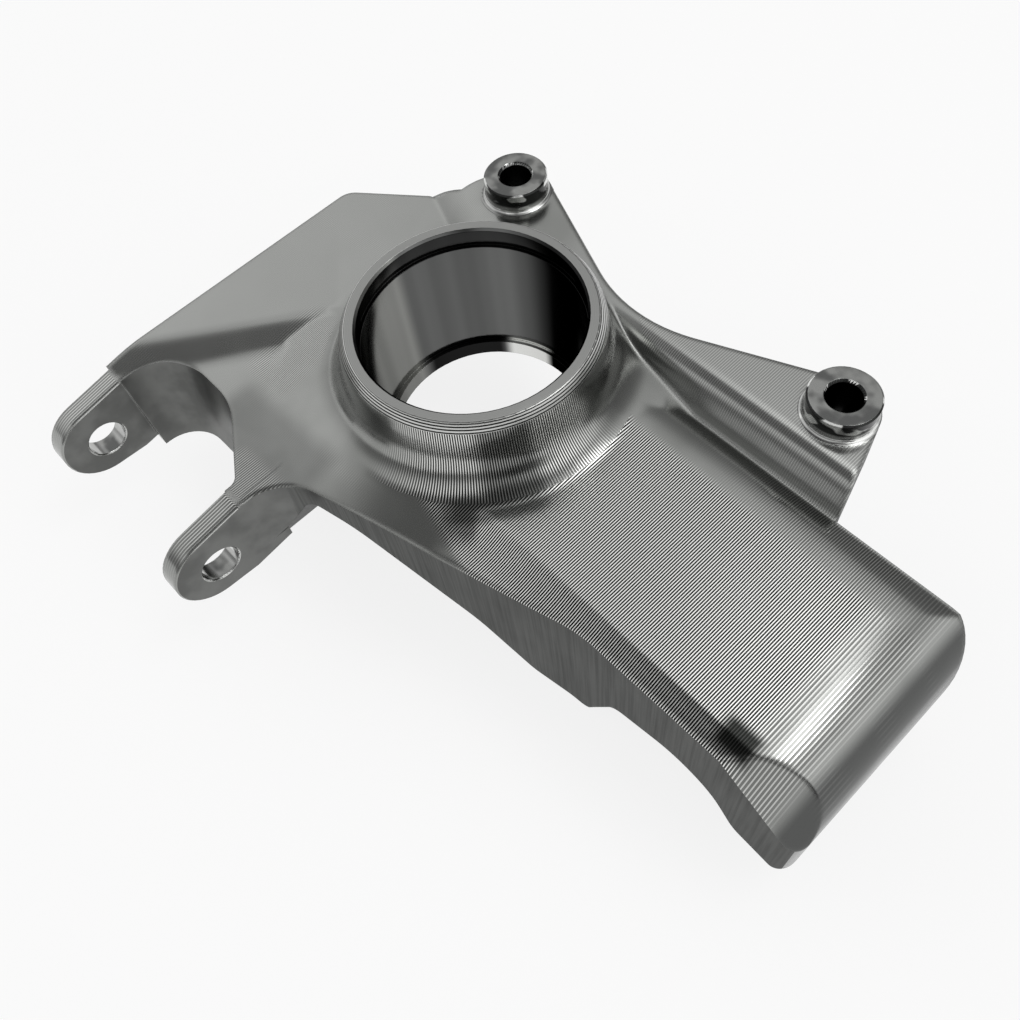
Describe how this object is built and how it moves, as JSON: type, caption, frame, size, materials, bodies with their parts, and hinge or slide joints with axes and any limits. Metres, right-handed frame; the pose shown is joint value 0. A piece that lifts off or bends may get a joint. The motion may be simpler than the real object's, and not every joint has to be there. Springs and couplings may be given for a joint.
{
  "type": "steering knuckle",
  "caption": "Steering knuckle machined from one billet: wheel bearing hub, caliper flange with raised bosses, clevis ears and a deep lower arm with a rounded nose.",
  "frame": {"origin": "centre of the wheel bearing's seat, on the bore axis and halfway between the snap ring groove and the lip", "axes": "+Z outboard along the wheel bearing bore, +X down the lower arm to its nose and along the line of the caliper bosses, -Y towards the clevis ears"},
  "size_m": [0.3114, 0.2207, 0.1023],
  "materials": {
    "machined_aluminium": "bare machined, with fine tool lines"
  },
  "bodies": {
    "root": {"steering_knuckle": "machined_aluminium"}
  },
  "joints": []
}
